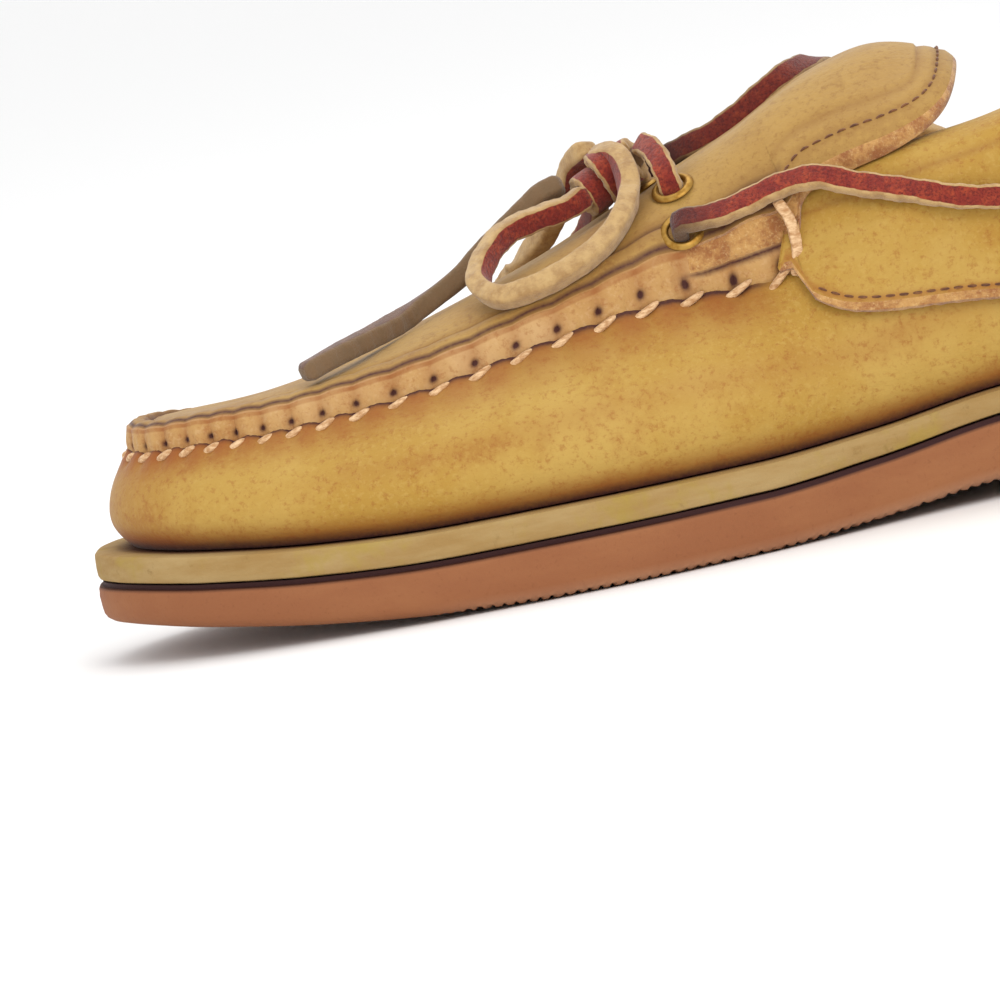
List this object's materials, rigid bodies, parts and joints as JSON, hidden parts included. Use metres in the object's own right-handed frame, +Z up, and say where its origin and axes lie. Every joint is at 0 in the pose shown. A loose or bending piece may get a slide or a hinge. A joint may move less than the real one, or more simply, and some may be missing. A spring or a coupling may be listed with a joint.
{
  "type": "boat shoe",
  "caption": "Hand-sewn leather boat shoe with a stitched moccasin toe, rawhide lace and bow, crepe midsole and rubber outsole.",
  "frame": {"origin": "under the middle of the shoe's box, on the floor", "axes": "+X from the toe to the heel, +Y from the inner to the outer side of the foot, +Z up"},
  "size_m": [0.3, 0.107, 0.0868],
  "materials": {
    "upper_leather": "oiled golden yellow grain, browner where it faces up",
    "lining_leather": "undyed, matt",
    "midsole_crepe": "cream, matt, ground edge",
    "outsole_rubber": "brick tan, matt, with siped tread",
    "eyelet_brass": "yellow brass, a little dulled",
    "lace_rawhide": "one dark red waxed face, cut edges and back raw and cream"
  },
  "bodies": {
    "root": {"outsole": "outsole_rubber", "midsole": "midsole_crepe", "insole": "lining_leather", "vamp": "upper_leather", "plug_tongue": "upper_leather", "quarter": "upper_leather", "eyelet_inner_low": "eyelet_brass", "eyelet_inner_high": "eyelet_brass", "eyelet_outer_high": "eyelet_brass", "eyelet_outer_low": "eyelet_brass", "lace_inner_run": "lace_rawhide", "lace_outer_run": "lace_rawhide", "lace_crossing": "lace_rawhide", "bow_near_loop": "lace_rawhide", "bow_near_end": "lace_rawhide", "bow_far_loop": "lace_rawhide", "bow_far_end": "lace_rawhide", "bow_knot": "lace_rawhide"}
  },
  "joints": []
}
